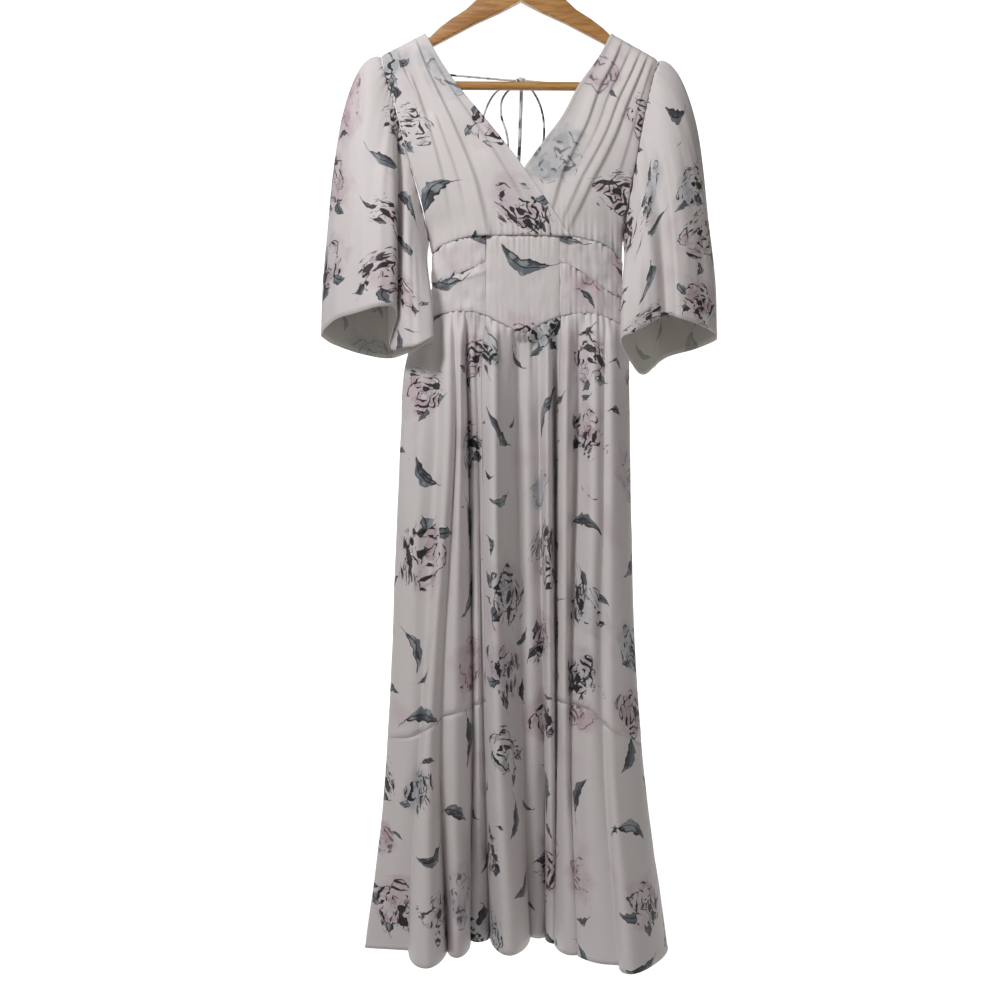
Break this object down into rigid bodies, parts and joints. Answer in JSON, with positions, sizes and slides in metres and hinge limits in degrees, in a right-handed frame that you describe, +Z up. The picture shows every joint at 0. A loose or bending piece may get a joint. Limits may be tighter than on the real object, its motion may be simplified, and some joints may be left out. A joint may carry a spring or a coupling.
{
  "type": "maxi dress on hanger",
  "caption": "Long floral surplice dress with flutter sleeves and a shaped midriff, hanging on a wooden hanger.",
  "frame": {"origin": "inside top of the hanger's hook, where the rail bears", "axes": "+Z up, -Y out of the front of the dress, +X towards the wearer's left"},
  "size_m": [0.575, 0.2386, 1.479],
  "materials": {
    "dress_cloth": "printed satin-faced chiffon, soft sheen",
    "tie_cloth": "rolled ties of the printed cloth",
    "hanger_wood": "satin varnish",
    "bar_wood": "satin varnish",
    "hook_steel": "bright plated wire"
  },
  "bodies": {
    "root": {"front_bodice_right": "dress_cloth", "front_bodice_left": "dress_cloth", "back_bodice_right": "dress_cloth", "back_bodice_left": "dress_cloth", "sleeve_right": "dress_cloth", "sleeve_left": "dress_cloth", "midriff_centre": "dress_cloth", "midriff_upper_right": "dress_cloth", "midriff_upper_left": "dress_cloth", "midriff_lower_right": "dress_cloth", "midriff_lower_left": "dress_cloth", "midriff_back": "dress_cloth", "skirt_front_right": "dress_cloth", "skirt_front_centre": "dress_cloth", "skirt_front_left": "dress_cloth", "skirt_flounce_right": "dress_cloth", "skirt_flounce_left": "dress_cloth", "skirt_back_right": "dress_cloth", "skirt_back_left": "dress_cloth", "tie_strap_right": "tie_cloth", "tie_strap_left": "tie_cloth", "tie_knot": "tie_cloth", "tie_loop": "tie_cloth", "tie_tail_centre": "tie_cloth", "tie_tail_left": "tie_cloth", "hanger_arm_right": "hanger_wood", "hanger_arm_left": "hanger_wood", "hanger_bar": "bar_wood", "hanger_hook": "hook_steel"}
  },
  "joints": []
}
